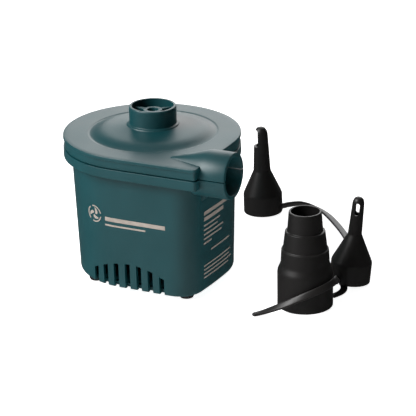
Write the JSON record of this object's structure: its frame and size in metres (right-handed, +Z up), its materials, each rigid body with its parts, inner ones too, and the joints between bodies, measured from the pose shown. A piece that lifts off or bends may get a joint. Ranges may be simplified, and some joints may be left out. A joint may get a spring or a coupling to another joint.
{
  "type": "electric air mattress pump",
  "caption": "Small rechargeable air pump with a round covered casing, a top inlet collar, a side outlet tube, vents near the foot and a set of tethered nozzles.",
  "frame": {"origin": "on the floor, under the middle of the pump and its nozzles together", "axes": "+Z up along the inlet collar and the motor, +X the way the outlet tube points, -Y the flat front with the vents"},
  "size_m": [0.1766, 0.1693, 0.0985],
  "materials": {
    "casing": "fine matt moulded, dark green-blue",
    "feet": "matt",
    "fasteners": "zinc plated",
    "inner_plastic": "satin",
    "motor_steel": "plated",
    "brass": "satin",
    "magnets": "matt",
    "windings": "enamelled copper",
    "black_plastic": "satin",
    "cell_sleeve": "shrink sleeve",
    "board": "solder mask",
    "port_steel": "plated",
    "lamp": "translucent",
    "wire_red": "satin",
    "wire_black": "satin",
    "nozzles": "matt moulded charcoal",
    "tethers": "matt, flexible"
  },
  "bodies": {
    "casing": {"top_cover": "casing", "body_shell": "casing", "base_plate": "casing", "foot_front_left": "feet", "foot_front_right": "feet", "foot_back_left": "feet", "foot_back_right": "feet", "base_screw_1": "fasteners", "base_screw_2": "fasteners", "base_screw_3": "fasteners", "base_screw_4": "fasteners", "floor_screw_1": "fasteners", "floor_screw_2": "fasteners", "floor_screw_3": "fasteners", "floor_screw_4": "fasteners", "motor_screw_1": "fasteners", "motor_screw_2": "fasteners", "volute_floor": "inner_plastic", "motor_can": "motor_steel", "motor_bush": "brass", "motor_magnets": "magnets", "motor_end_cap": "black_plastic", "battery_cell_front": "cell_sleeve", "battery_cell_back": "cell_sleeve", "battery_tray": "inner_plastic", "battery_strip_left": "motor_steel", "battery_strip_right": "motor_steel", "circuit_board": "board", "charge_controller": "black_plastic", "charging_port": "port_steel", "port_tongue": "black_plastic", "charge_lamp": "lamp", "switch_housing": "black_plastic", "motor_wire_red": "wire_red", "motor_wire_black": "wire_black", "battery_wire_red": "wire_red", "battery_wire_black": "wire_black", "switch_wire_red": "wire_red"},
    "rotor": {"impeller": "inner_plastic", "motor_armature": "windings", "motor_shaft": "motor_steel"},
    "rocker": {"switch_rocker": "black_plastic"},
    "nozzle_set": {"nozzle_stepped": "nozzles", "nozzle_medium": "nozzles", "nozzle_small": "nozzles", "tether_long": "tethers", "tether_short": "tethers"}
  },
  "joints": [
    {"name": "impeller_spin", "type": "hinge", "parent": "casing", "child": "rotor", "pos_m": [-0.03693, -0.0321, 0.07], "axis": [0, 0, 1], "continuous": true},
    {"name": "switch_rock", "type": "hinge", "parent": "casing", "child": "rocker", "pos_m": [-0.03833, 0.0077, 0.042], "axis": [1, 0, 0], "range_deg": [0, 20]},
    {"name": "nozzles_lift", "type": "slide", "parent": "casing", "child": "nozzle_set", "axis": [0, 0, 1], "range_m": [0, 0.12]}
  ]
}
